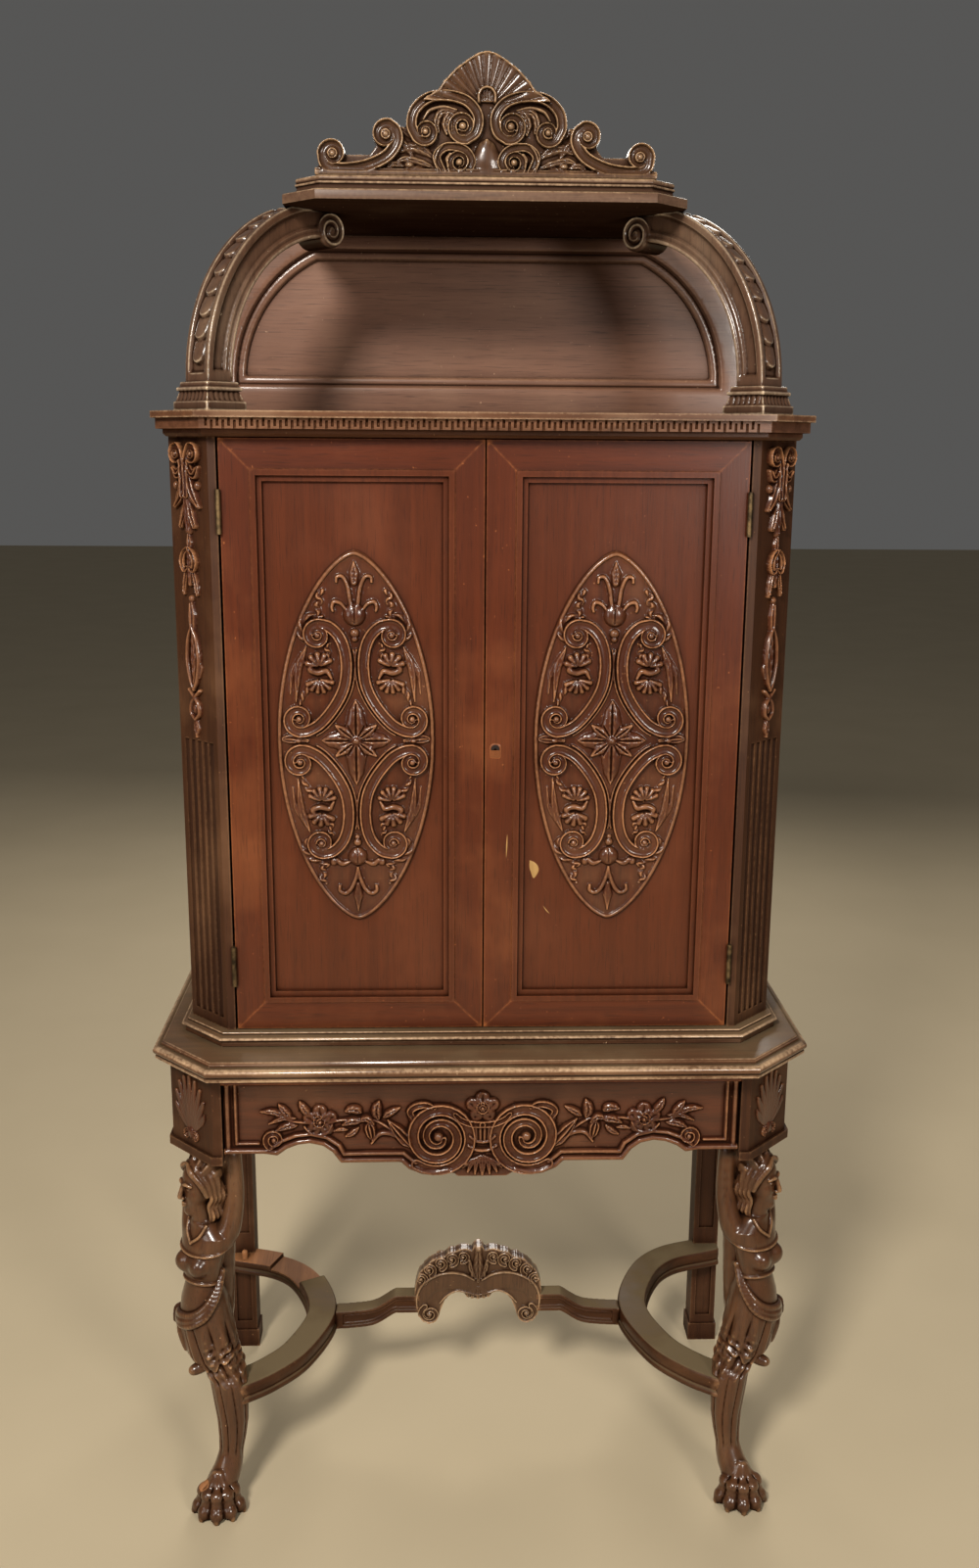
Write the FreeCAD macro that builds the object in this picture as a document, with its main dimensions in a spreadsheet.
import FreeCAD, Part
import math
import os
import re
import Sketcher

# China cabinet: a two-door case under an open arched hood, on a stand with a drawer,
# two carved figure legs, two square rear legs and a curved stretcher.
# Millimetres. Floor at z = 0, front towards -Y, centre line on x = 0.

V = FreeCAD.Vector
doc = FreeCAD.newDocument("china_cabinet")
sheet = doc.addObject("Spreadsheet::Sheet", "dims")

SIZES = [
    # heights of the stack, from the floor up
    ("stand_height", "648", "floor to underside of the waist board"),
    ("base_thick", "24", "waist board"),
    ("mould_height", "18", "moulded floor board of the case"),
    ("case_height", "766", "posts, sides and door opening"),
    ("frieze_height", "22", "fret frieze and bed moulding"),
    ("slab_thick", "8", "cornice slab"),
    ("hood_height", "245", "cornice slab to canopy"),
    ("canopy_thick", "12", "lower canopy board"),
    ("cap_thick", "18", "upper canopy board"),
    ("crest_height", "139", "carved crest"),
    # plan of the case
    ("front_set", "132", "case front ahead of the centre of the plan"),
    ("case_half", "394", "half width of the case"),
    ("case_cant", "56", "canted corner of the case"),
    ("case_depth", "350", "case front to case back"),
    ("side_thick", "22", "case sides"),
    ("back_thick", "10", "case back"),
    ("post_return", "24", "side face of a corner post"),
    ("flute_count", "5", "flutes on a corner post"),
    ("flute_radius", "4.5", "flute hollow"),
    ("flute_pitch", "13", "flute spacing along the cant"),
    ("flute_foot", "14", "plain foot under the flutes"),
    ("flute_length", "372", "fluted height"),
    ("drop_width", "46", "carved drop on a post"),
    ("drop_height", "372", "carved drop on a post"),
    ("drop_thick", "11", "carved drop on a post"),
    ("drop_gap", "4", "above the carved drop"),
    # waist board, floor board, frieze and slab
    ("waist_front", "78", "waist board ahead of the case"),
    ("waist_side", "46", "waist board beside the case"),
    ("waist_cant", "81", "waist board corner"),
    ("waist_step", "13", "set back of the upper step of the waist board"),
    ("waist_cap", "8", "upper step of the waist board"),
    ("waist_nose", "6", "rounding of the waist board"),
    ("back_over", "8", "waist board behind the case"),
    ("mould_front", "19", "floor board ahead of the case"),
    ("mould_side", "13", "floor board beside the case"),
    ("mould_cant", "60", "floor board corner"),
    ("mould_round", "9", "rounding of the floor board"),
    ("slab_front", "35", "slab ahead of the case"),
    ("slab_side", "16", "slab beside the case"),
    ("slab_cant", "63", "slab, frieze corner"),
    ("fret_inset", "5", "fret face behind the slab edge"),
    ("fret_pitch", "13.6", "key fret repeat"),
    ("fret_slot", "3.4", "key fret groove"),
    ("fret_depth", "3", "key fret groove"),
    ("fret_edge", "3", "plain edge above and below the key fret"),
    ("bed_height", "9", "bed moulding under the fret"),
    ("bed_front", "14", "bed moulding ahead of the case"),
    ("bed_side", "4", "bed moulding beside the case"),
    # doors
    ("door_thick", "22", "door frame"),
    ("door_gap", "1.5", "above and below a door"),
    ("seam", "2", "between the doors"),
    ("hinge_gap", "3", "between a door and its post"),
    ("post_face", "10", "front face of a corner post"),
    ("frame_width", "37", "stiles and rails"),
    ("panel_thick", "9", "door panel"),
    ("panel_set", "8", "panel behind the door face"),
    ("panel_tongue", "8", "panel edge in its groove"),
    ("bolection_wide", "14", "panel moulding, lower step"),
    ("bolection_thin", "7", "panel moulding, upper step"),
    ("bolection_step", "5", "height of either step"),
    ("oval_margin", "11", "beside the medallion"),
    ("oval_half_tall", "240", "medallion half height"),
    ("oval_plate", "4", "medallion ground"),
    ("oval_relief", "8", "medallion carving above its ground"),
    ("oval_rim", "8", "medallion rim"),
    ("oval_lift", "8", "medallion centre above the door middle"),
    # hinges and lock
    ("leaf_thick", "1.3", "hinge leaf"),
    ("leaf_wide", "18", "hinge leaf"),
    ("leaf_tall", "54", "hinge leaf"),
    ("knuckle_radius", "3.2", "hinge knuckle"),
    ("knuckle_clear", "0.2", "knuckle ahead of the door face"),
    ("pin_radius", "1.2", "hinge pin"),
    ("running_gap", "0.3", "clearance of moving pieces"),
    ("hinge_inset", "88", "door end to hinge centre"),
    ("lock_wide", "34", "lock case"),
    ("lock_tall", "44", "lock case"),
    ("lock_deep", "9", "lock case"),
    ("lock_edge", "2.5", "lock case behind the door edge"),
    ("lock_wall", "3", "back wall of the lock case"),
    ("bolt_long", "24", "lock bolt"),
    ("bolt_tall", "12", "lock bolt"),
    ("bolt_thick", "4", "lock bolt"),
    # shelves
    ("shelf_thick", "16", "shelf"),
    ("shelf_depth", "250", "shelf"),
    ("shelf_low", "255", "case floor to first shelf"),
    ("shelf_pitch", "255", "first shelf to second shelf"),
    ("cleat_wide", "18", "shelf cleat"),
    # hood
    ("arch_inset", "63", "arch inside the case side"),
    ("arch_radius", "182", "curve of the arch"),
    ("arch_spring", "48", "slab to the start of the curve"),
    ("arch_crown", "212", "slab to the flat crown"),
    ("arch_band", "50", "arch frame beyond the arch"),
    ("arch_thick", "16", "arch frame"),
    ("hood_panel", "12", "hood back panel"),
    ("rail_height", "44", "rail under the arch"),
    ("bracket_inset", "62", "front arris of a bracket foot inside the case side"),
    ("bracket_y", "10", "front arris ahead of the case front"),
    ("bracket_turn", "45", "plan angle of a bracket"),
    ("bracket_thick", "46", "coin band width"),
    ("bracket_foot", "37", "bracket depth at its foot"),
    ("bracket_reach", "200", "bracket reach along its plane"),
    ("crown_over", "12", "top of the bracket's outer curve above the canopy underside"),
    ("crown_depth", "43", "outer curve above the inner curve at their tops"),
    ("bracket_sink", "3", "sunk panel on the bracket face"),
    ("sink_edge", "9", "border of the sunk panel"),
    ("plinth_height", "34", "bracket plinth"),
    ("plinth_out", "11", "plinth beyond the bracket"),
    ("volute_radius", "20", "bracket scroll"),
    ("scroll_proud", "2", "bracket scroll beyond the band and below the canopy"),
    ("coin_radius", "10", "coin on the band"),
    ("coin_count", "10", "coins on the band"),
    ("coin_proud", "2", "coin above the band"),
    ("canopy_inset", "85", "canopy edge inside the bracket foot"),
    ("canopy_cant", "43", "canopy corner"),
    ("canopy_set", "28", "canopy behind the case front"),
    ("cap_inset", "13", "upper canopy board inset"),
    ("cap_cove", "7", "cove of the upper canopy board"),
    ("crest_inset", "41", "crest end inside the canopy edge"),
    ("crest_thick", "24", "crest"),
    ("crest_set", "5", "crest behind the upper canopy board edge"),
    # stand
    ("block_over", "30", "corner block outside the case side"),
    ("block_wide", "77", "corner block"),
    ("block_cant", "64", "canted face of a corner block"),
    ("block_height", "127", "corner block"),
    ("block_depth", "100", "corner block"),
    ("block_lip", "12", "moulding under a block"),
    ("block_proud", "5", "moulding beyond a block"),
    ("apron_set", "28", "apron ahead of the case front"),
    ("apron_thick", "22", "aprons"),
    ("apron_reveal", "4", "side apron behind the block face"),
    ("apron_height", "90", "side and back aprons"),
    ("back_apron", "18", "back apron thickness"),
    ("drawer_gap", "1", "around the drawer front"),
    ("drawer_front", "20", "drawer front"),
    ("drawer_rail", "26", "rail above the drawer"),
    ("rail_set", "2", "drawer rail behind the drawer face"),
    ("rail_deep", "34", "drawer rail"),
    ("drawer_drop", "138", "drawer front, deepest"),
    ("drawer_long", "270", "drawer box"),
    ("drawer_wall", "12", "drawer sides and back"),
    ("drawer_tall", "60", "drawer sides"),
    ("drawer_floor", "6", "drawer bottom"),
    ("drawer_inset", "18", "drawer side behind the front's end"),
    ("drawer_head", "8", "above the drawer sides"),
    ("runner_high", "14", "drawer runner"),
    ("runner_wide", "30", "drawer runner"),
    ("runner_set", "2", "runner behind the drawer front"),
    ("rear_size", "40", "rear leg"),
    ("rear_sink", "3", "sunk panels of a rear leg"),
    ("rear_plinth", "30", "rear leg plinth"),
    ("sunk_margin", "15", "above and below the sunk panels"),
    ("sunk_under", "8", "sunk panel below the stretcher"),
    ("sunk_over", "29", "sunk panel above the stretcher"),
    ("sunk_side", "8", "beside the sunk panels"),
    ("plinth_proud", "3", "rear plinth beyond the leg"),
    ("leg_inset", "44", "figure leg centre inside the block face"),
    ("leg_y", "2.7", "figure leg centre behind the case front"),
    ("figure_turn", "40", "figures face outwards by this angle"),
    ("figure_width", "80", "figure at the hip"),
    # stretcher
    ("stretch_low", "148", "stretcher underside"),
    ("stretch_tall", "28", "stretcher"),
    ("stretch_y", "13", "cross stretcher behind the plan centre"),
    ("stretch_thick", "24", "cross stretcher"),
    ("arm_rise", "27", "ogee of a cross arm"),
    ("bow_inset", "144.5", "side stretcher bow inside the figure leg"),
    ("bow_wide", "43", "side stretcher"),
    ("bead_tall", "6", "bead on the side stretcher"),
    ("bead_proud", "3", "bead on the side stretcher"),
    ("arch_wide", "176", "stretcher crest"),
    ("arch_tall", "128", "stretcher crest"),
    ("arch_low", "156", "stretcher crest underside"),
    ("arch_proud", "2", "stretcher crest beyond the arms"),
]

DERIVED = [
    ("y_case", "-front_set"),
    ("y_back", "y_case + case_depth"),
    ("y_post", "y_case + case_cant + post_return"),
    ("block_half", "case_half + block_over"),
    ("drawer_half", "block_half - block_wide - drawer_gap"),
    ("rear_x", "block_half - apron_reveal - apron_thick - rear_size / 2"),
    ("leg_x", "block_half - leg_inset"),
    ("bow_x", "leg_x - bow_inset"),
    ("arch_half", "case_half - arch_inset"),
    ("bracket_x", "case_half - bracket_inset"),
    ("bracket_rise", "hood_height - plinth_height + crown_over"),
    ("bracket_under", "bracket_rise - crown_depth"),
    ("canopy_half", "bracket_x - canopy_inset"),
    ("crest_half", "canopy_half - crest_inset"),
    ("z_block", "stand_height - block_height"),
    ("z_mould", "stand_height + base_thick"),
    ("z_case", "z_mould + mould_height"),
    ("z_frieze", "z_case + case_height"),
    ("z_slab", "z_frieze + frieze_height"),
    ("z_hood", "z_slab + slab_thick"),
    ("z_canopy", "z_hood + hood_height"),
    ("z_cap", "z_canopy + canopy_thick"),
    ("z_crest", "z_cap + cap_thick"),
    ("inner_half", "case_half - side_thick"),
    ("post_in", "case_half - case_cant - post_face"),
    ("door_out", "post_in - hinge_gap"),
    ("door_in", "seam / 2"),
    ("door_low", "z_case + door_gap"),
    ("door_high", "z_frieze - door_gap"),
    ("pane_out", "door_out - frame_width"),
    ("pane_in", "door_in + frame_width"),
    ("oval_half_wide", "(pane_out - pane_in) / 2 - bolection_wide - oval_margin"),
    ("pane_low", "door_low + frame_width"),
    ("pane_high", "door_high - frame_width"),
    ("y_panel", "y_case + panel_set"),
    ("y_door_back", "y_case + door_thick"),
    ("axis_x", "post_in - hinge_gap / 2"),
    ("axis_y", "y_case - knuckle_radius - knuckle_clear"),
    ("y_apron", "y_case - apron_set"),
    ("z_drawer", "stand_height - drawer_rail - drawer_gap"),
    ("block_in", "drawer_half + drawer_gap"),
    ("y_block", "y_apron + block_depth"),
    ("rear_in", "rear_x - rear_size / 2"),
    ("rear_out", "rear_x + rear_size / 2"),
    ("y_rear_back", "y_back + back_over / 2"),
    ("y_rear", "y_rear_back - rear_size"),
    ("y_back_apron", "y_rear + rear_size / 2"),
    ("drawer_side", "drawer_half - drawer_inset"),
    ("z_runner", "z_drawer - drawer_tall - runner_high - drawer_head"),
    ("y_hood_panel", "y_back - hood_panel"),
    ("y_arch", "y_hood_panel - arch_thick"),
    ("y_canopy", "y_case + canopy_set"),
    ("cap_half", "canopy_half - cap_inset"),
    ("cap_cant", "canopy_cant - cap_inset * 0.8"),
    ("y_cap", "y_canopy + cap_inset"),
    ("stretch_high", "stretch_low + stretch_tall"),
]

row = 0
for alias, text, note in SIZES:
    row += 1
    sheet.set("A%d" % row, alias)
    sheet.set("B%d" % row, text)
    sheet.set("C%d" % row, note)
    sheet.setAlias("B%d" % row, alias)
for alias, text in DERIVED:
    row += 1
    sheet.set("A%d" % row, alias)
    sheet.set("B%d" % row, "=" + text)
    sheet.setAlias("B%d" % row, alias)
doc.recompute()

NAMES = {entry[0] for entry in SIZES} | {entry[0] for entry in DERIVED}


def ex(text):
    """Turn size names in a formula into references to the sheet."""
    return re.sub(r"[a-z_]\w*", lambda m: "dims." + m.group() if m.group() in NAMES else m.group(), text)


def val(text):
    """Number behind a formula of size names."""
    return float(sheet.evalExpression(re.sub(r"dims\.", "", ex(text))))


def signed(side, text):
    """The same formula on the right (+1) or the left (-1)."""
    return text if side > 0 else "-(%s)" % text


PARTS = []


def keep(obj, label):
    """Register a finished sub-part under the name of its file."""
    obj.Label = label
    PARTS.append(obj)
    return obj


# Building blocks


def block(name, x, y, z, dx, dy, dz):
    """Rectangular piece from its low corner and its three sizes."""
    obj = doc.addObject("Part::Box", name)
    for prop, text in (("Length", dx), ("Width", dy), ("Height", dz)):
        obj.setExpression(prop, ex(text))
    for axis, text in zip("xyz", (x, y, z)):
        obj.setExpression("Placement.Base." + axis, ex(text))
    return obj


def spans(name, side, x_in, x_out, y, z, dy, dz):
    """Rectangular piece between two distances from the centre line, on one side."""
    low = x_in if side > 0 else "-(%s)" % x_out
    return block(name, low, y, z, "(%s) - (%s)" % (x_out, x_in), dy, dz)


def rod(name, x, y, z, radius, length):
    """Upright round rod."""
    obj = doc.addObject("Part::Cylinder", name)
    obj.setExpression("Radius", ex(radius))
    obj.setExpression("Height", ex(length))
    for axis, text in zip("xyz", (x, y, z)):
        obj.setExpression("Placement.Base." + axis, ex(text))
    return obj


def fused(name, pieces):
    obj = doc.addObject("Part::MultiFuse", name)
    obj.Shapes = pieces
    return obj


def cut(name, base, tool):
    obj = doc.addObject("Part::Cut", name)
    obj.Base = base
    obj.Tool = tool
    return obj


def group(name, pieces):
    """Several like pieces kept as separate solids under one name."""
    obj = doc.addObject("Part::Compound", name)
    obj.Links = pieces
    return obj


PLANES = {"XY": "XY_Plane", "XZ": "XZ_Plane", "YZ": "YZ_Plane"}


def sketch(body, name, plane, start, polygons=(), circles=()):
    """Sketch of closed polygons and circles with every corner tied to the sheet."""
    sk = body.newObject("Sketcher::SketchObject", name)
    origin = [o for o in body.Origin.OriginFeatures if o.Role == PLANES[plane]][0]
    sk.AttachmentSupport = [(origin, "")]
    sk.MapMode = "FlatFace"
    sk.setExpression("AttachmentOffset.Base.z", ex(start))
    for points in polygons:
        at = [V(val(a), val(b), 0) for a, b in points]
        first = sk.GeometryCount
        count = len(at)
        for i in range(count):
            sk.addGeometry(Part.LineSegment(at[i], at[(i + 1) % count]), False)
        for i in range(count):
            sk.addConstraint(Sketcher.Constraint("Coincident", first + i, 2, first + (i + 1) % count, 1))
            pin(sk, first + i, 1, points[i], at[i])
    for x, y, radius in circles:
        centre = V(val(x), val(y), 0)
        index = sk.addGeometry(Part.Circle(centre, V(0, 0, 1), val(radius)), False)
        pin(sk, index, 3, (x, y), centre)
        k = sk.addConstraint(Sketcher.Constraint("Radius", index, val(radius)))
        sk.setExpression("Constraints[%d]" % k, ex(radius))
    return sk


def pin(sk, index, end, texts, at):
    """Tie one point of a sketch to two formulas."""
    for kind, text, number in (("DistanceX", texts[0], at.x), ("DistanceY", texts[1], at.y)):
        k = sk.addConstraint(Sketcher.Constraint(kind, -1, 1, index, end, number))
        sk.setExpression("Constraints[%d]" % k, ex(text))


def pad(body, sk, name, length, back=False):
    obj = body.newObject("PartDesign::Pad", name)
    obj.Profile = sk
    obj.Reversed = back
    obj.setExpression("Length", ex(length))
    return obj


def pocket(body, sk, name, depth, back=False):
    obj = body.newObject("PartDesign::Pocket", name)
    obj.Profile = sk
    obj.Reversed = back
    obj.setExpression("Length", ex(depth))
    return obj


def new_body(name):
    return doc.addObject("PartDesign::Body", name)


def rectangle(x_in, z_low, x_out, z_high):
    """Corners: bottom in, bottom out, top out, top in."""
    return [(x_in, z_low), (x_out, z_low), (x_out, z_high), (x_in, z_high)]


def canted(half, cant, front, back):
    """Plan of a board with its two front corners cut at 45 degrees."""
    inner = "(%s) - (%s)" % (half, cant)
    knee = "(%s) + (%s)" % (front, cant)
    return [("-(%s)" % inner, front), (inner, front), (half, knee), (half, back),
            ("-(%s)" % half, back), ("-(%s)" % half, knee)]


def front_edges(body, levels, back):
    """Names of the level edges of a board, without those along its back."""
    shape = body.Shape
    found = []
    for index, edge in enumerate(shape.Edges):
        box = edge.BoundBox
        level = any(abs(box.ZMin - z) < 0.01 and abs(box.ZMax - z) < 0.01 for z in levels)
        if level and box.YMin < back - 1 and box.YMax < back + 0.01 and not on_back(box, back):
            found.append("Edge%d" % (index + 1))
    return found


def on_back(box, back):
    return abs(box.YMin - back) < 0.01 and abs(box.YMax - back) < 0.01


def dress(body, kind, name, edges, size):
    """Fillet or chamfer on the named edges of the body's last feature."""
    last = body.Tip
    obj = body.newObject("PartDesign::" + kind, name)
    obj.Base = (last, edges)
    obj.setExpression("Radius" if kind == "Fillet" else "Size", ex(size))
    doc.recompute()
    return obj


def runs_wire(runs):
    """Closed wire from runs of points; a run of more than two points is a smooth curve."""
    edges = []
    for points in runs:
        if len(points) == 2:
            edges.append(Part.LineSegment(points[0], points[1]).toShape())
        else:
            curve = Part.BSplineCurve()
            curve.interpolate(points)
            edges.append(curve.toShape())
    return Part.Wire(edges)


def upright(runs, y, thick):
    """Solid cut from a board standing across the cabinet: runs of (x, z) points."""
    wire = runs_wire([[V(px, y, pz) for px, pz in run] for run in runs])
    return Part.Face(wire).extrude(V(0, thick, 0))


def both_halves(runs):
    """Close a left-half outline (bottom centre round to top centre) with its mirror image."""
    mirror = [[(-px, pz) for px, pz in reversed(run)] for run in reversed(runs)]
    return list(runs) + mirror


def carved(name, shape):
    """Free-form piece whose sizes come from the sheet at build time."""
    obj = doc.addObject("Part::Feature", name)
    obj.Shape = shape.removeSplitter()
    return obj


def flipped(shape):
    return shape.mirror(V(0, 0, 0), V(1, 0, 0))


SIDES = (("left", -1), ("right", 1))

# Waist board: rounded nosing with a set-back upper step

waist = new_body("base_top")
low = canted("case_half + waist_side", "waist_cant", "y_case - waist_front", "y_back + back_over")
top = canted("case_half + waist_side - waist_step", "waist_cant - waist_step * 0.586",
             "y_case - waist_front + waist_step", "y_back + back_over")
waist_plan = sketch(waist, "waist_plan", "XY", "stand_height", [low])
pad(waist, waist_plan, "waist_nosing", "base_thick - waist_cap")
doc.recompute()
nose = [val("stand_height"), val("z_mould - waist_cap")]
dress(waist, "Fillet", "waist_round", front_edges(waist, nose, val("y_back + back_over")), "waist_nose")
pad(waist, sketch(waist, "step_plan", "XY", "z_mould - waist_cap", [top]), "waist_upper", "waist_cap")
keep(waist, "base_top")

# Case: moulded floor board, fluted corner posts, sides, back and shelves

floor_board = new_body("case_base")
plan = canted("case_half + mould_side", "mould_cant", "y_case - mould_front", "y_back")
pad(floor_board, sketch(floor_board, "floor_plan", "XY", "z_mould", [plan]), "floor_pad", "mould_height")
doc.recompute()
dress(floor_board, "Fillet", "floor_round",
      front_edges(floor_board, [val("z_case")], val("y_back")), "mould_round")
keep(floor_board, "case_base")

ROOT_HALF = "0.70710678"
for word, side in SIDES:
    post = new_body("corner_post_" + word)
    plan = [("post_in", "y_case"), ("case_half - case_cant", "y_case"),
            ("case_half", "y_case + case_cant"), ("case_half", "y_post"), ("inner_half", "y_post"),
            ("post_in", "y_post - inner_half + post_in")]
    plan = [(signed(side, px), py) for px, py in plan]
    pad(post, sketch(post, "post_plan_" + word, "XY", "z_case", [plan]), "post_pad_" + word, "case_height")
    holes = []
    for i in range(int(val("flute_count"))):
        step = "(%d - (flute_count - 1) / 2) * flute_pitch * %s" % (i, ROOT_HALF)
        holes.append((signed(side, "case_half - case_cant / 2 + %s" % step),
                      "y_case + case_cant / 2 + %s" % step, "flute_radius"))
    flutes = sketch(post, "flute_plan_" + word, "XY", "z_case + flute_foot", [], holes)
    pocket(post, flutes, "flutes_" + word, "flute_length", True)
    keep(post, "corner_post_" + word)
    keep(spans("side_panel_" + word, side, "inner_half", "case_half", "y_post", "z_case",
               "y_back - y_post", "case_height"), "side_panel_" + word)

keep(block("back_panel", "-inner_half", "y_back - back_thick", "z_case",
           "2 * inner_half", "back_thick", "case_height"), "back_panel")

shelves = []
cleats = []
for level, lift in (("lower", "shelf_low"), ("upper", "shelf_low + shelf_pitch")):
    y_shelf = "y_back - back_thick - shelf_depth"
    shelves.append(block("shelf_" + level, "-inner_half", y_shelf, "z_case + " + lift,
                         "2 * inner_half", "shelf_depth", "shelf_thick"))
    for word, side in SIDES:
        cleats.append(spans("cleat_%s_%s" % (level, word), side, "inner_half - cleat_wide", "inner_half",
                            y_shelf, "z_case + %s - cleat_wide" % lift, "shelf_depth", "cleat_wide"))
keep(group("shelves", shelves), "shelves")
keep(group("shelf_cleats", cleats), "shelf_cleats")

# Carved drop on the canted face of either post: (half width, height) as shares of its size

DROP = [(0.0, 1.0), (0.88, 1.0), (0.98, 0.965), (0.84, 0.93), (0.96, 0.89), (0.78, 0.84), (0.5, 0.8),
        (0.58, 0.77), (0.2, 0.735), (0.42, 0.695), (0.46, 0.66), (0.16, 0.6), (0.5, 0.56), (0.54, 0.515),
        (0.14, 0.47), (0.4, 0.43), (0.46, 0.365), (0.14, 0.275), (0.32, 0.235), (0.34, 0.195),
        (0.12, 0.15), (0.22, 0.1), (0.0, 0.0)]
drop_top = val("z_frieze - drop_gap")
half_wide = val("drop_width") / 2
rim = [(-share * half_wide, drop_top - (1 - height) * val("drop_height")) for share, height in DROP]
drop_runs = both_halves([[rim[-1]] + list(reversed(rim[1:-1])), [rim[1], rim[0]]])
drop_shape = upright(drop_runs, -val("drop_thick"), val("drop_thick"))
drop_shape.rotate(V(0, 0, 0), V(0, 0, 1), 45)
drop_shape.translate(V(val("case_half - case_cant / 2"), val("y_case + case_cant / 2"), 0))
for word, side in SIDES:
    shape = drop_shape if side > 0 else flipped(drop_shape)
    keep(carved("corner_drop_" + word, shape), "corner_drop_" + word)

# Frieze board with the key fret, bed moulding below, thin slab above

frieze = new_body("frieze")
bed = canted("case_half + bed_side", "case_cant", "y_case - bed_front", "y_back")
fret = canted("case_half + slab_side - fret_inset", "slab_cant", "y_case - slab_front + fret_inset",
              "y_back")
pad(frieze, sketch(frieze, "bed_plan", "XY", "z_frieze", [bed]), "bed_pad", "bed_height")
doc.recompute()
bed_edges = front_edges(frieze, [val("z_frieze")], val("y_back"))
dress(frieze, "Chamfer", "bed_cove", bed_edges, "bed_side * 0.9")
pad(frieze, sketch(frieze, "fret_plan", "XY", "z_frieze + bed_height", [fret]), "fret_pad",
    "frieze_height - bed_height")
start = "-(case_half + slab_side - fret_inset - slab_cant) + fret_pitch / 2"
tall = "(frieze_height - bed_height)"
keys = []
for shift, low_end, high_end in (("0", "fret_edge", tall), ("fret_pitch / 2", "0", tall + " - fret_edge")):
    x_key = "%s + %s" % (start, shift)
    z_low = "z_frieze + bed_height + " + low_end
    z_high = "z_frieze + bed_height + " + high_end
    x_far = x_key + " + fret_slot"
    keys.append(rectangle(x_key, z_low, x_far, z_high))
key_cut = pocket(frieze, sketch(frieze, "key_plan", "XZ", "-(y_case - slab_front + fret_inset)", keys),
                 "key_cut", "fret_depth")
key_row = frieze.newObject("PartDesign::LinearPattern", "key_row")
key_row.Originals = [key_cut]
key_row.Direction = (frieze.Origin.OriginFeatures[0], [""])
key_row.Mode = "Spacing"
key_row.setExpression("Offset", ex("fret_pitch"))
key_row.setExpression("Occurrences",
                      ex("floor(2 * (case_half + slab_side - fret_inset - slab_cant) / fret_pitch) - 1"))
frieze.Tip = key_row
keep(frieze, "frieze")

slab = new_body("cornice_slab")
plan = canted("case_half + slab_side", "slab_cant", "y_case - slab_front", "y_back")
pad(slab, sketch(slab, "slab_plan", "XY", "z_slab", [plan]), "slab_pad", "slab_thick")
keep(slab, "cornice_slab")

# Doors: mitred frames grooved for a flat panel, stepped panel moulding, carved medallion


def frame_piece(name, side, corners, groove):
    """One mitred frame member: corners and panel groove as (x, z) formulas."""
    body = new_body(name)
    outline = [(signed(side, px), pz) for px, pz in corners]
    channel = [(signed(side, px), pz) for px, pz in groove]
    pad(body, sketch(body, name + "_face", "XZ", "-y_case", [outline]), name + "_pad", "door_thick", True)
    pocket(body, sketch(body, name + "_groove", "XZ", "-y_panel", [channel]), name + "_slot", "panel_thick")
    return keep(body, name)


def ring(body, name, side, start, length, wide):
    """Rectangular moulding frame just inside the door frame."""
    outer = rectangle("pane_in", "pane_low", "pane_out", "pane_high")
    inner = rectangle("pane_in + " + wide, "pane_low + " + wide, "pane_out - " + wide, "pane_high - " + wide)
    loops = [[(signed(side, px), pz) for px, pz in loop] for loop in (outer, inner)]
    return pad(body, sketch(body, name + "_loops", "XZ", start, loops), name, length)


def medallion(side):
    """Oval plaque: ground, raised rim, four C-scrolls round a rosette, buds and finials."""
    wide, tall = val("oval_half_wide"), val("oval_half_tall")
    ground, relief, rim_wide = val("oval_plate"), val("oval_relief"), val("oval_rim")
    centre = V(val("(pane_in + pane_out) / 2"), val("y_panel"),
               val("(door_low + door_high) / 2 + oval_lift"))

    def oval(a, b, thick):
        wire = Part.Wire(Part.Ellipse(V(0, 0, 0), max(a, b), min(a, b)).toShape())
        if b > a:
            wire.rotate(V(0, 0, 0), V(0, 0, 1), 90)
        return Part.Face(wire).extrude(V(0, 0, thick))

    def disc(x, z, radius, thick):
        return Part.makeCylinder(radius, thick, V(x * wide, z * tall, 0))

    full = ground + relief
    solid = oval(wide, tall, ground)
    solid = solid.fuse(oval(wide, tall, full * 0.8).cut(oval(wide - rim_wide, tall - rim_wide, full)))
    extras = [disc(0, 0, wide * 0.27, full * 0.75), disc(0, 0, wide * 0.1, full)]
    extras += [disc(0, share, wide * 0.12, full) for share in (0.66, -0.68)]
    extras += [disc(0, share, wide * 0.09, full * 0.8) for share in (0.82, -0.84)]
    for sx in (-1, 1):
        extras.append(disc(sx * 0.82, 0, wide * 0.06, full * 0.8))
        for sz in (-1, 1):
            path = [(0.46, 0.62), (0.2, 0.5), (0.16, 0.36), (0.3, 0.2), (0.56, 0.1), (0.74, 0.09)]
            points = [V(sx * px * wide, sz * pz * tall, 0) for px, pz in path]
            curve = Part.BSplineCurve()
            curve.interpolate(points)
            edge = curve.toShape()
            start = edge.valueAt(edge.FirstParameter)
            along = edge.tangentAt(edge.FirstParameter)
            across = V(-along.y, along.x, 0) * (wide * 0.045)
            lift = V(0, 0, full * 0.9)
            section = Part.makePolygon([start - across, start + across, start + across + lift,
                                        start - across + lift, start - across])
            extras.append(Part.Wire(edge).makePipeShell([section], True, True))
            extras.append(disc(sx * 0.46, sz * 0.56, wide * 0.13, full * 0.9))
            extras.append(disc(sx * 0.68, sz * 0.06, wide * 0.1, full * 0.9))
    solid = solid.fuse(extras)
    solid.rotate(V(0, 0, 0), V(1, 0, 0), 90)
    solid.translate(centre)
    return solid if side > 0 else flipped(solid)


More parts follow.
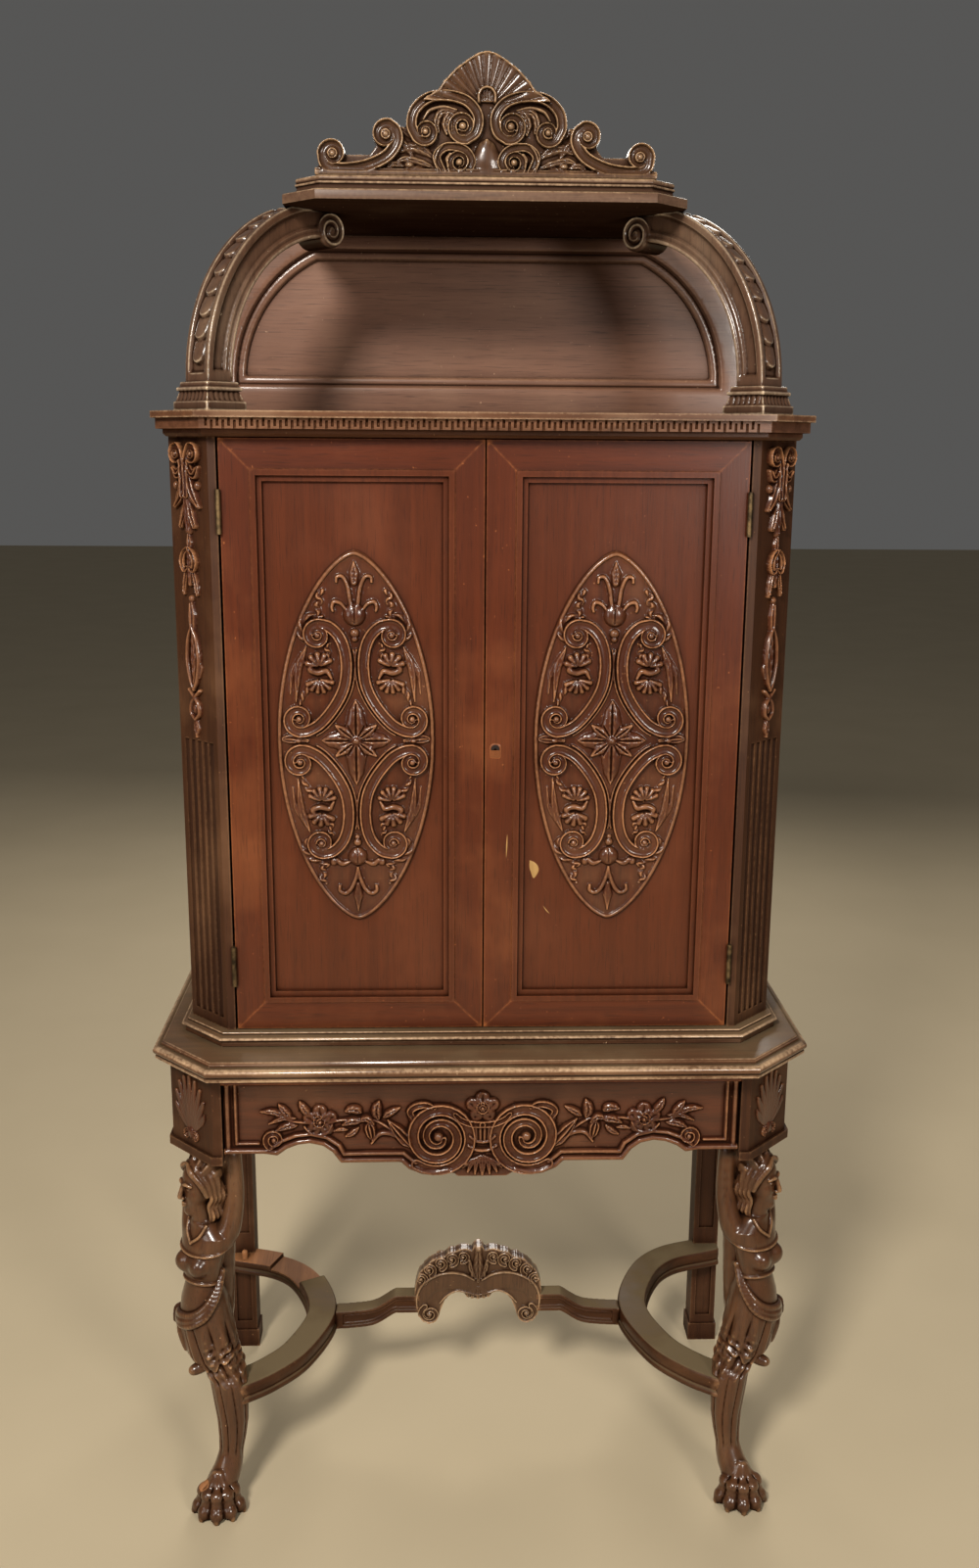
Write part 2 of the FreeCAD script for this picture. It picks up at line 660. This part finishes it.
for word, side in SIDES:
    tag = "door_%s_" % word
    slot_out, slot_in = "pane_out + panel_tongue", "pane_in - panel_tongue"
    slot_low, slot_high = "pane_low - panel_tongue", "pane_high + panel_tongue"
    # door corners, pane corners and groove corners: bottom in, bottom out, top out, top in
    door = rectangle("door_in", "door_low", "door_out", "door_high")
    pane = rectangle("pane_in", "pane_low", "pane_out", "pane_high")
    slot = rectangle(slot_in, slot_low, slot_out, slot_high)
    for i, member in enumerate(("bottom_rail", "hinge_stile", "top_rail", "meeting_stile")):
        j = (i + 1) % 4
        outline = [door[i], door[j], pane[j], pane[i]]
        frame_piece(tag + member, side, outline, [slot[i], slot[j], pane[j], pane[i]])
    keep(spans(tag + "panel", side, slot_in, slot_out, "y_panel", slot_low,
               "panel_thick", "(%s) - (%s)" % (slot_high, slot_low)), tag + "panel")
    bolection = new_body(tag + "moulding")
    ring(bolection, "wide_step_" + word, side, "-y_panel", "bolection_step", "bolection_wide")
    ring(bolection, "thin_step_" + word, side, "-(y_panel - bolection_step)", "bolection_step",
         "bolection_thin")
    keep(bolection, tag + "moulding")
    keep(carved(tag + "medallion", medallion(side)), tag + "medallion")

# Butt hinges: two to a door, the pin held by the case leaf

case_leaves = []
tongue = "y_case - axis_y"
for word, side in SIDES:
    door_leaves = []
    for level, z_mid in (("low", "door_low + hinge_inset"), ("high", "door_high - hinge_inset")):
        tag = "%s_%s" % (word, level)
        z_foot = "%s - leaf_tall / 2" % z_mid
        third = "leaf_tall / 3"
        x_axis = signed(side, "axis_x")
        face_in = "post_in - leaf_thick"
        pieces = [spans("case_leaf_" + tag, side, face_in, "post_in", "y_case", z_foot,
                        "leaf_wide", "leaf_tall"),
                  rod("case_pin_" + tag, x_axis, "axis_y", z_foot, "pin_radius", "leaf_tall")]
        for end, z_end in (("foot", z_foot), ("head", "%s + 2 * %s" % (z_foot, third))):
            pieces.append(rod("case_knuckle_%s_%s" % (end, tag), x_axis, "axis_y", z_end,
                              "knuckle_radius", third))
            pieces.append(spans("case_tongue_%s_%s" % (end, tag), side, face_in, "post_in", "axis_y", z_end,
                                tongue, third))
        case_leaves.append(fused("case_hinge_" + tag, pieces))
        z_third = "%s + %s + running_gap" % (z_foot, third)
        short = "%s - 2 * running_gap" % third
        leaf = [spans("door_leaf_" + tag, side, "door_out", "door_out + leaf_thick", "y_case", z_foot,
                      "leaf_wide", "leaf_tall"),
                rod("door_knuckle_" + tag, x_axis, "axis_y", z_third, "knuckle_radius", short),
                spans("door_tongue_" + tag, side, "door_out", "door_out + leaf_thick", "axis_y", z_third,
                      tongue, short)]
        bore = rod("door_bore_" + tag, x_axis, "axis_y", z_foot, "pin_radius + running_gap", "leaf_tall")
        door_leaves.append(cut("door_hinge_" + tag, fused("door_leaf_set_" + tag, leaf), bore))
    keep(group("door_%s_hinge_leaves" % word, door_leaves), "door_%s_hinge_leaves" % word)
keep(group("case_hinge_leaves", case_leaves), "case_hinge_leaves")

# Lock on the back of the right door; its bolt shoots behind the left door

z_lock = "(door_low + door_high) / 2"
y_bolt = "y_door_back + (lock_deep - bolt_thick) / 2"
shell = spans("lock_shell", 1, "door_in + lock_edge", "door_in + lock_edge + lock_wide", "y_door_back",
              z_lock + " - lock_tall / 2", "lock_deep", "lock_tall")
channel = spans("lock_channel", 1, "door_in", "door_in + lock_edge + lock_wide - lock_wall",
                y_bolt + " - running_gap", z_lock + " - bolt_tall / 2 - running_gap",
                "bolt_thick + 2 * running_gap", "bolt_tall + 2 * running_gap")
keep(cut("lock_case", shell, channel), "lock_case")
keep(spans("lock_bolt", 1, "door_in + lock_edge", "door_in + lock_edge + bolt_long", y_bolt,
           z_lock + " - bolt_tall / 2", "bolt_thick", "bolt_tall"), "lock_bolt")

# Hood: arched back panel, arch frame, rail, curved brackets, canopy and crest


def arched(name, y, thick, half, radius, crown):
    """Board with rounded upper corners cut off flat at its crown, from the slab up."""
    lower = block(name + "_legs", "-(%s)" % half, y, "z_hood", "2 * (%s)" % half, thick, "arch_spring")
    centre = "(%s) - (%s)" % (half, radius)
    middle = block(name + "_middle", "-(%s)" % centre, y, "z_hood", "2 * (%s)" % centre, thick, crown)
    rounds = []
    for word, side in SIDES:
        disc = rod(name + "_round_" + word, signed(side, centre), "(%s) + (%s)" % (y, thick),
                   "z_hood + arch_spring", radius, thick)
        disc.Placement.Rotation = FreeCAD.Rotation(V(1, 0, 0), 90)
        rounds.append(disc)
    whole = fused(name + "_whole", [lower, middle] + rounds)
    limit = block(name + "_limit", "-(%s)" % half, y, "z_hood", "2 * (%s)" % half, thick, crown)
    common = doc.addObject("Part::MultiCommon", name)
    common.Shapes = [whole, limit]
    return common


wide_half = "arch_half + arch_band"
wide_radius = "arch_radius + arch_band"
keep(arched("hood_back", "y_hood_panel", "hood_panel", wide_half, wide_radius, "hood_height"), "hood_back")
frame_out = arched("arch_outer", "y_arch", "arch_thick", wide_half, wide_radius, "hood_height")
frame_in = arched("arch_inner", "y_arch", "arch_thick", "arch_half", "arch_radius", "arch_crown")
arch_ring = cut("arch_ring", frame_out, frame_in)
arch_rail = block("arch_rail", "-arch_half", "y_arch", "z_hood", "2 * arch_half", "arch_thick",
                  "rail_height")
keep(fused("arch_frame", [arch_ring, arch_rail]), "arch_frame")


def ellipse_points(a, b, first, last, count):
    """Points of a quarter curve that starts upright at its foot: angles in degrees."""
    reach, foot = val("bracket_reach"), val("plinth_height")
    points = []
    for i in range(count + 1):
        angle = math.radians(first + (last - first) * i / count)
        points.append((reach - a * math.cos(angle), foot + b * math.sin(angle)))
    return points


# Angles in degrees along the bracket's curve, and the steps of a curve
SINK_FROM, SINK_TO = 6, 78
COIN_FROM, COIN_SHORT = 5, 8
CURVE_STEPS = 8


def bracket_shape():
    """Left bracket: plinth, curved arm with sunk face, coin band and end scroll."""
    reach, foot, thick = val("bracket_reach"), val("plinth_height"), val("bracket_thick")
    rise, under, deep = val("bracket_rise"), val("bracket_under"), val("bracket_foot")
    roof = val("hood_height")
    last = math.degrees(math.asin((roof - foot) / rise))
    outer = ellipse_points(reach, rise, 0, last, CURVE_STEPS)
    inner = ellipse_points(reach - deep, under, 0, 90, CURVE_STEPS)
    arm = upright([inner, [inner[-1], (reach, roof)], [(reach, roof), outer[-1]], list(reversed(outer)),
                   [outer[0], inner[0]]], 0, thick)
    edge = val("sink_edge")
    sink_out = ellipse_points(reach - edge, rise - edge, SINK_FROM, last - SINK_FROM, CURVE_STEPS)
    sink_in = ellipse_points(reach - deep + edge, under + edge, SINK_FROM, SINK_TO, CURVE_STEPS)
    rim = [sink_in, [sink_in[-1], sink_out[-1]], list(reversed(sink_out)), [sink_out[0], sink_in[0]]]
    sunk = upright(rim, 0, val("bracket_sink"))
    arm = arm.cut(sunk)
    round_end, proud = val("volute_radius"), val("scroll_proud")
    scroll_at = V(reach - proud, -proud, roof - round_end - proud)
    scroll = Part.makeCylinder(round_end, thick + 2 * proud, scroll_at, V(0, 1, 0))
    out = val("plinth_out")
    steps = [(0, 0.32, out), (0.32, 0.7, out * 0.65), (0.7, 0.85, out * 0.8), (0.85, 1, out * 0.35)]
    pieces = [scroll]
    for low_share, high_share, lip in steps:
        pieces.append(Part.makeBox(deep + 2 * lip, thick + 2 * lip, foot * (high_share - low_share),
                                   V(-lip, -lip, foot * low_share)))
    coins, root = int(val("coin_count")), val("bracket_sink")
    for i in range(coins):
        angle = math.radians(COIN_FROM + (last - COIN_FROM - COIN_SHORT) * i / (coins - 1))
        at = V(reach - reach * math.cos(angle), thick / 2, foot + rise * math.sin(angle))
        normal = V(-math.cos(angle) / reach, 0, math.sin(angle) / rise).normalize()
        tall = root + val("coin_proud")
        pieces.append(Part.makeCylinder(val("coin_radius"), tall, at - normal * root, normal))
    solid = arm.fuse(pieces)
    solid.rotate(V(0, 0, 0), V(0, 0, 1), val("bracket_turn"))
    solid.translate(V(-val("bracket_x"), val("y_case - bracket_y"), val("z_hood")))
    return solid


left_bracket = bracket_shape()
for word, side in SIDES:
    keep(carved("bracket_" + word, flipped(left_bracket) if side > 0 else left_bracket), "bracket_" + word)

canopy = new_body("canopy_board")
plan = canted("canopy_half", "canopy_cant", "y_canopy", "y_back")
pad(canopy, sketch(canopy, "canopy_plan", "XY", "z_canopy", [plan]), "canopy_pad", "canopy_thick")
keep(canopy, "canopy_board")

cap = new_body("canopy_cap")
plan = canted("cap_half", "cap_cant", "y_cap", "y_back")
pad(cap, sketch(cap, "cap_plan", "XY", "z_cap", [plan]), "cap_pad", "cap_thick")
doc.recompute()
dress(cap, "Chamfer", "cap_edge", front_edges(cap, [val("z_crest")], val("y_back")), "cap_cove")
keep(cap, "canopy_cap")

# Crest outline, left half, as shares of half width and height; runs meet at the notches
CREST = [
    [(0, 0), (-1, 0)],
    [(-1, 0), (-1, 0.055)],
    [(-1, 0.055), (-0.955, 0.06)],
    [(-0.955, 0.06), (-0.94, 0.17), (-0.9, 0.215), (-0.86, 0.215), (-0.825, 0.18)],
    [(-0.825, 0.18), (-0.74, 0.165), (-0.67, 0.2), (-0.61, 0.26)],
    [(-0.61, 0.26), (-0.625, 0.33), (-0.6, 0.4), (-0.545, 0.425), (-0.505, 0.4)],
    [(-0.505, 0.4), (-0.45, 0.415), (-0.42, 0.46)],
    [(-0.42, 0.46), (-0.41, 0.52), (-0.35, 0.625), (-0.27, 0.685)],
    [(-0.27, 0.685), (-0.225, 0.77), (-0.165, 0.88)],
    [(-0.165, 0.88), (-0.1, 0.945), (0, 1)],
]
half, high, ground = val("crest_half"), val("crest_height"), val("z_crest")
runs = [[(px * half, ground + pz * high) for px, pz in run] for run in CREST]
crest_shape = upright(both_halves(runs), val("y_cap + crest_set"), val("crest_thick"))
keep(carved("crest", crest_shape), "crest")

# Stand: canted corner blocks, aprons, drawer rail and runners

for word, side in SIDES:
    corner = new_body("corner_block_" + word)
    plan = [("block_in", "y_apron"), ("block_half - block_cant", "y_apron"),
            ("block_half", "y_apron + block_cant"), ("block_half", "y_block"), ("block_in", "y_block")]
    lip = [("block_in", "y_apron - block_proud"), ("block_half - block_cant + block_proud * 0.414",
                                                   "y_apron - block_proud"),
           ("block_half + block_proud", "y_apron + block_cant - block_proud * 0.414"),
           ("block_half + block_proud", "y_block"), ("block_in", "y_block")]
    plan = [(signed(side, px), py) for px, py in plan]
    lip = [(signed(side, px), py) for px, py in lip]
    block_plan = sketch(corner, "block_plan_" + word, "XY", "z_block", [plan])
    pad(corner, block_plan, "block_pad_" + word, "block_height")
    lip_plan = sketch(corner, "lip_plan_" + word, "XY", "z_block", [lip])
    pad(corner, lip_plan, "lip_pad_" + word, "block_lip", True)
    keep(corner, "corner_block_" + word)
    face = "block_half - apron_reveal"
    keep(spans("side_apron_" + word, side, face + " - apron_thick", face, "y_block",
               "stand_height - apron_height", "y_rear_back - y_block", "apron_height"), "side_apron_" + word)

keep(block("back_apron", "-rear_in", "y_back_apron", "stand_height - apron_height", "2 * rear_in",
           "back_apron", "apron_height"), "back_apron")
keep(block("drawer_rail", "-block_in", "y_apron + rail_set", "stand_height - drawer_rail", "2 * block_in",
           "rail_deep", "drawer_rail"), "drawer_rail")
y_runner = "y_apron + drawer_front + runner_set"
runners = [spans("runner_" + word, side, "block_in - runner_wide", "block_in", y_runner, "z_runner",
                 "y_back_apron - (%s)" % y_runner, "runner_high") for word, side in SIDES]
keep(group("drawer_runners", runners), "drawer_runners")

# Drawer: shaped front, two sides, back and bottom
# Lower edge of the front, left half: (share of half width, share of the deepest drop)
EDGE = [
    [(0, 1), (-0.06, 0.975), (-0.1, 0.985), (-0.13, 0.955)],
    [(-0.13, 0.955), (-0.2, 0.965), (-0.26, 0.95), (-0.305, 0.885)],
    [(-0.305, 0.885), (-0.33, 0.835)],
    [(-0.33, 0.835), (-0.545, 0.835)],
    [(-0.545, 0.835), (-0.59, 0.72), (-0.63, 0.63), (-0.68, 0.6), (-0.73, 0.64), (-0.785, 0.745)],
    [(-0.785, 0.745), (-0.83, 0.69), (-0.875, 0.72)],
    [(-0.875, 0.72), (-1, 0.72)],
]
half, drop, high = val("drawer_half"), val("drawer_drop"), val("z_drawer")
runs = [[(px * half, high - pz * drop) for px, pz in run] for run in EDGE]
runs += [[(-half, high - 0.72 * drop), (-half, high)], [(-half, high), (0, high)]]
front_shape = upright(both_halves(runs), val("y_apron"), val("drawer_front"))
keep(carved("drawer_front", front_shape), "drawer_front")

y_box = "y_apron + drawer_front"
z_box = "z_runner + runner_high + running_gap"
box_tall = "drawer_tall"
for word, side in SIDES:
    keep(spans("drawer_side_" + word, side, "drawer_side - drawer_wall", "drawer_side", y_box, z_box,
               "drawer_long", box_tall), "drawer_side_" + word)
keep(block("drawer_back", "-(drawer_side - drawer_wall)", y_box + " + drawer_long - drawer_wall", z_box,
           "2 * (drawer_side - drawer_wall)", "drawer_wall", box_tall), "drawer_back")
keep(block("drawer_bottom", "-(drawer_side - drawer_wall)", y_box, z_box, "2 * (drawer_side - drawer_wall)",
           "drawer_long - drawer_wall", "drawer_floor"), "drawer_bottom")

# Rear legs: square pilasters with two sunk panels on the front and a plinth

for word, side in SIDES:
    leg = new_body("rear_leg_" + word)
    x_low, x_high = "rear_in", "rear_out"
    plan = [(x_low, "y_rear"), (x_high, "y_rear"), (x_high, "y_rear_back"), (x_low, "y_rear_back")]
    foot = [(x_low + " - plinth_proud", "y_rear - plinth_proud"),
            (x_high + " + plinth_proud", "y_rear - plinth_proud"),
            (x_high + " + plinth_proud", "y_rear_back"), (x_low + " - plinth_proud", "y_rear_back")]
    plan = [(signed(side, px), py) for px, py in plan]
    foot = [(signed(side, px), py) for px, py in foot]
    pad(leg, sketch(leg, "leg_plan_" + word, "XY", "0", [plan]), "leg_pad_" + word, "stand_height")
    pad(leg, sketch(leg, "foot_plan_" + word, "XY", "0", [foot]), "foot_pad_" + word, "rear_plinth")
    panels = []
    x_one, x_two = signed(side, "rear_in + sunk_side"), signed(side, "rear_out - sunk_side")
    for z_low, z_high in (("rear_plinth + sunk_margin", "stretch_low - sunk_under"),
                          ("stretch_high + sunk_over", "stand_height - apron_height - sunk_margin")):
        panels.append(rectangle(x_one, z_low, x_two, z_high))
    panel_plan = sketch(leg, "panel_plan_" + word, "XZ", "-y_rear", panels)
    pocket(leg, panel_plan, "panel_cut_" + word, "rear_sink")
    keep(leg, "rear_leg_" + word)

# Figure legs, modelled on the right and mirrored


def ellipse_wire(centre, a, b, turn):
    """Level ellipse with half widths a across and b along the facing direction."""
    wire = Part.Wire(Part.Ellipse(V(0, 0, 0), max(a, b), min(a, b)).toShape())
    wire.rotate(V(0, 0, 0), V(0, 0, 1), turn + (0 if a >= b else 90))
    wire.translate(centre)
    return wire


def ball(centre, a, b, c, turn=0):
    """Ellipsoid with half axes a, b, c, turned about the vertical."""
    matrix = FreeCAD.Matrix()
    matrix.scale(a, b, c)
    solid = Part.makeSphere(1).transformGeometry(matrix)
    solid.rotate(V(0, 0, 0), V(0, 0, 1), turn)
    solid.translate(centre)
    return solid


def hoop(centre, a, b, thick, tilt, turn):
    """Rope-like ring round the hips, lower on the outer side by the tilt angle."""
    matrix = FreeCAD.Matrix()
    matrix.scale(1, b / a, 1)
    solid = Part.makeTorus(a, thick).transformGeometry(matrix)
    solid.rotate(V(0, 0, 0), V(0, 1, 0), tilt)
    solid.rotate(V(0, 0, 0), V(0, 0, 1), turn)
    solid.translate(centre)
    return solid


# Shank from ankle to hem: height share, offsets across the cabinet and back, half width,
# all but the first in shares of the figure width
SHANK = [(0.06, -0.34, -0.6, 0.23), (0.13, -0.375, -0.55, 0.205), (0.2, -0.41, -0.48, 0.23),
         (0.275, -0.39, -0.42, 0.265), (0.335, -0.325, -0.33, 0.31), (0.385, -0.23, -0.2, 0.37)]
# Figure from hem to neck, in its own frame: height share, offset across and ahead, half widths
TORSO = [(0.375, -0.24, 0.0, 0.34, 0.34), (0.4, -0.17, 0.0, 0.44, 0.42), (0.435, -0.09, 0.02, 0.48, 0.46),
         (0.49, 0.0, 0.03, 0.49, 0.45), (0.54, 0.02, 0.03, 0.47, 0.41), (0.59, 0.02, 0.03, 0.4, 0.34),
         (0.635, 0.02, 0.03, 0.345, 0.29), (0.67, 0.02, 0.03, 0.36, 0.3), (0.715, 0.01, 0.03, 0.41, 0.32),
         (0.765, 0.0, 0.0, 0.45, 0.28), (0.79, 0.0, -0.01, 0.36, 0.23), (0.81, 0.01, 0.0, 0.2, 0.18),
         (0.845, 0.02, 0.03, 0.16, 0.16)]
TOE_ANGLES = (-24, -62, -94, -128)


def figure_leg():
    """Right figure leg: clawed paw, shank, draped half figure with one raised arm."""
    wide, tall, turn = val("figure_width"), val("z_block - block_lip"), val("figure_turn")
    foot = V(val("leg_x"), val("y_case + leg_y"), 0)
    across = V(math.cos(math.radians(turn)), math.sin(math.radians(turn)), 0) * wide
    ahead = V(math.sin(math.radians(turn)), -math.cos(math.radians(turn)), 0) * wide

    def world(dx, dy, share):
        return foot + V(dx * wide, dy * wide, share * tall)

    def figure(side, front, share):
        return foot + across * side + ahead * front + V(0, 0, share * tall)

    def bulge(centre, a, b, c, angle):
        return ball(centre, a * wide, b * wide, c * wide, angle)

    shank = [ellipse_wire(world(dx, dy, share), r * wide, r * wide, turn) for share, dx, dy, r in SHANK]
    torso = [ellipse_wire(figure(side, front, share), a * wide, b * wide, turn)
             for share, side, front, a, b in TORSO]
    pieces = [Part.makeLoft(torso, True)]
    # bodice, head, chin, nose, hair and the hair mass that bears on the block
    pieces += [bulge(figure(side, 0.24, 0.705), 0.17, 0.16, 0.17, turn) for side in (-0.17, 0.19)]
    pieces += [bulge(figure(0.02, 0.06, 0.9), 0.25, 0.29, 0.38, turn),
               bulge(figure(0.02, 0.19, 0.868), 0.13, 0.12, 0.12, turn),
               bulge(figure(0.02, 0.345, 0.892), 0.035, 0.05, 0.08, turn),
               bulge(figure(0.02, -0.03, 0.932), 0.31, 0.34, 0.45, turn),
               bulge(figure(-0.06, -0.2, 0.86), 0.26, 0.17, 0.62, turn)]
    # raised arm: shoulder, elbow, wrist
    arm = [(-0.35, 0.0, 0.765, 0.14), (-0.5, 0.06, 0.865, 0.125), (-0.45, 0.12, 1.0, 0.105)]
    for one, two in zip(arm, arm[1:]):
        low, high = world(*one[:3]), world(*two[:3])
        pieces.append(Part.makeCone(one[3] * wide, two[3] * wide, (high - low).Length, low, high - low))
    pieces.append(Part.makeSphere(arm[1][3] * wide, world(*arm[1][:3])))
    # sash, its knot on the outer hip, and the scrolled hem
    for share, tilt, grow in ((0.585, 24, 0.37), (0.565, 28, 0.4)):
        size = grow * wide
        pieces.append(hoop(figure(0.02, 0.03, share), size, size * 0.88, 0.055 * wide, tilt, turn))
    pieces += [bulge(figure(0.33, 0.27, 0.535), 0.12, 0.12, 0.15, turn),
               bulge(figure(0.3, 0.25, 0.455), 0.1, 0.12, 0.28, turn),
               bulge(figure(0.12, 0.36, 0.375), 0.14, 0.17, 0.08, turn)]
    # paw and toes
    heel = (-0.25, -0.65)
    pieces.append(bulge(world(heel[0], heel[1], 0.04), 0.3, 0.3, 0.26, 0))
    for angle in TOE_ANGLES:
        reach = V(math.cos(math.radians(angle)), math.sin(math.radians(angle)), 0)
        centre = world(heel[0] + 0.36 * reach.x, heel[1] + 0.36 * reach.y, 0.024)
        pieces.append(bulge(centre, 0.2, 0.135, 0.17, angle))
    solid = Part.makeLoft(shank, True)
    for piece in pieces:
        solid = solid.fuse(piece)
    room = V(2 * wide, 2 * wide, 0)
    below = Part.makeBox(4 * wide, 4 * wide, wide, foot - room - V(0, 0, wide))
    above = Part.makeBox(4 * wide, 4 * wide, wide, foot - room + V(0, 0, tall))
    return solid.cut(below).cut(above)


right_leg = figure_leg()
for word, side in SIDES:
    keep(carved("front_leg_" + word, right_leg if side > 0 else flipped(right_leg)), "front_leg_" + word)

# Stretcher: C-shaped side members scribed to the legs, ogee arms, carved arch

# Middle line of a side member, from the rear leg to the figure leg: (out from the bow, back from
# the cross stretcher)
BOW = [(148, 169), (72, 142), (27, 92), (0, 3), (27, -86), (66, -135), (110, -168)]


def bow_plate(low, high, half):
    """Level plate between two heights that follows the bow, right side."""
    middle = Part.BSplineCurve()
    middle.interpolate([V(val("bow_x") + px, val("stretch_y") + py, 0) for px, py in BOW])
    first, last = middle.FirstParameter, middle.LastParameter

    def edge_points(offset):
        points = []
        for i in range(2 * len(BOW) - 1):
            at = first + (last - first) * i / (2 * len(BOW) - 2)
            along = middle.tangent(at)[0]
            points.append(middle.value(at) + V(-along.y, along.x, 0) * offset + V(0, 0, low))
        return points

    one, two = edge_points(half), edge_points(-half)
    wire = runs_wire([one, [one[-1], two[-1]], list(reversed(two)), [two[0], one[0]]])
    return Part.Face(wire).extrude(V(0, 0, high - low))


bow_low, bow_high, bow_half = val("stretch_low"), val("stretch_high"), val("bow_wide") / 2


def side_stretcher():
    """Right side member before it is scribed to the legs: level plate with a bead along its foot."""
    bead = bow_low + val("bead_tall")
    return bow_plate(bead, bow_high, bow_half).fuse(bow_plate(bow_low, bead, bow_half + val("bead_proud")))


doc.recompute()
right_member = side_stretcher().cut(right_leg).cut(doc.getObject("rear_leg_right").Shape)
right_member = max(right_member.Solids, key=lambda solid: solid.Volume)
for word, side in SIDES:
    keep(carved("side_stretcher_" + word, right_member if side > 0 else flipped(right_member)),
         "side_stretcher_" + word)

# Ogee arm, left, from the bow to the carved arch: (share of its length, share of its rise)
arm_start, arm_end = -val("bow_x"), -val("arch_wide") / 2
top_run = [(0, 0), (0.36, 0.12), (0.56, 0.32), (0.74, 0.95), (0.8, 1)]


def arm_point(share, lift, ground):
    return arm_start + (arm_end - arm_start) * share, ground + lift * val("arm_rise")


upper = [arm_point(a, b, bow_high) for a, b in top_run]
lower = [arm_point(a, b, bow_low) for a, b in top_run]
low_end, high_end = arm_point(1, 1, bow_low), arm_point(1, 1, bow_high)
arm_runs = [lower, [lower[-1], low_end], [low_end, high_end], [high_end, upper[-1]], list(reversed(upper)),
            [upper[0], lower[0]]]
arm_shape = upright(arm_runs, val("stretch_y - stretch_thick / 2"), val("stretch_thick"))
left_member = flipped(right_member)
over_bow = flipped(bow_plate(bow_high, bow_high + val("arm_rise"), bow_half))
arm_shape = max(arm_shape.cut(left_member).cut(over_bow).Solids, key=lambda solid: solid.Volume)
for word, side in SIDES:
    keep(carved("cross_arm_" + word, flipped(arm_shape) if side > 0 else arm_shape), "cross_arm_" + word)

# Carved arch over the middle, left half: (share of half width, share of height)
ARCH = [
    [(0, 0.31), (-0.1, 0.345), (-0.16, 0.385)],
    [(-0.16, 0.385), (-0.38, 0.375), (-0.52, 0.28), (-0.58, 0.2)],
    [(-0.58, 0.2), (-0.565, 0.08), (-0.66, 0.01), (-0.77, 0), (-0.88, 0.04), (-1, 0.15)],
    [(-1, 0.15), (-1, 0.4)],
    [(-1, 0.4), (-0.96, 0.56), (-0.93, 0.65), (-0.8, 0.745)],
    [(-0.8, 0.745), (-0.74, 0.83), (-0.66, 0.845), (-0.56, 0.87)],
    [(-0.56, 0.87), (-0.44, 0.885), (-0.34, 0.89)],
    [(-0.34, 0.89), (-0.24, 0.94), (-0.13, 0.93)],
    [(-0.13, 0.93), (-0.08, 0.985), (0, 1)],
]
half, high, ground = val("arch_wide") / 2, val("arch_tall"), val("arch_low")
runs = [[(px * half, ground + pz * high) for px, pz in run] for run in ARCH]
arch_shape = upright(both_halves(runs), val("stretch_y - stretch_thick / 2 - arch_proud"),
                     val("stretch_thick + 2 * arch_proud"))
keep(carved("stretcher_arch", arch_shape), "stretcher_arch")

# Check every sub-part, then write one file for each

doc.recompute()
os.makedirs("parts", exist_ok=True)
for obj in doc.Objects:
    if "Invalid" in obj.State or "Error" in obj.State:
        raise RuntimeError("failed: %s %s" % (obj.Name, obj.State))
for obj in PARTS:
    if obj.Shape.isNull() or not obj.Shape.isValid() or not obj.Shape.Solids:
        raise RuntimeError("bad shape: " + obj.Label)
    obj.Shape.exportStep("parts/%s.step" % obj.Label)
